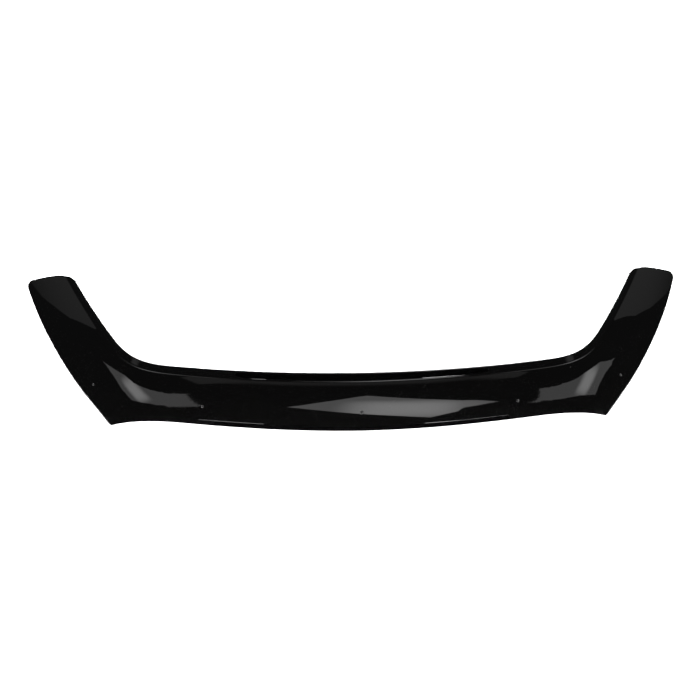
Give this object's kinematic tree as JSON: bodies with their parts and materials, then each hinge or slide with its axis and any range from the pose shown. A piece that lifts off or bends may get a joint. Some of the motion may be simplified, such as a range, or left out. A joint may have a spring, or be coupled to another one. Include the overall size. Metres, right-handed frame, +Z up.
{
  "type": "hood bug deflector",
  "caption": "Wide U-shaped wind and insect shield for a car hood: a bowed, crowned band with a kicked-up lip, a turned lower flange and two arms that sweep back.",
  "frame": {"origin": "on the show face, in the mouth of the centre fixing hole", "axes": "+X across the car, towards the right-hand arm as seen from the front; +Y back towards the windscreen; +Z up"},
  "size_m": [1.4188, 0.36, 0.1603],
  "materials": {
    "gloss_black_acrylic": "high gloss, dyed through, with router-cut edges"
  },
  "bodies": {
    "root": {"deflector_shell": "gloss_black_acrylic"}
  },
  "joints": []
}
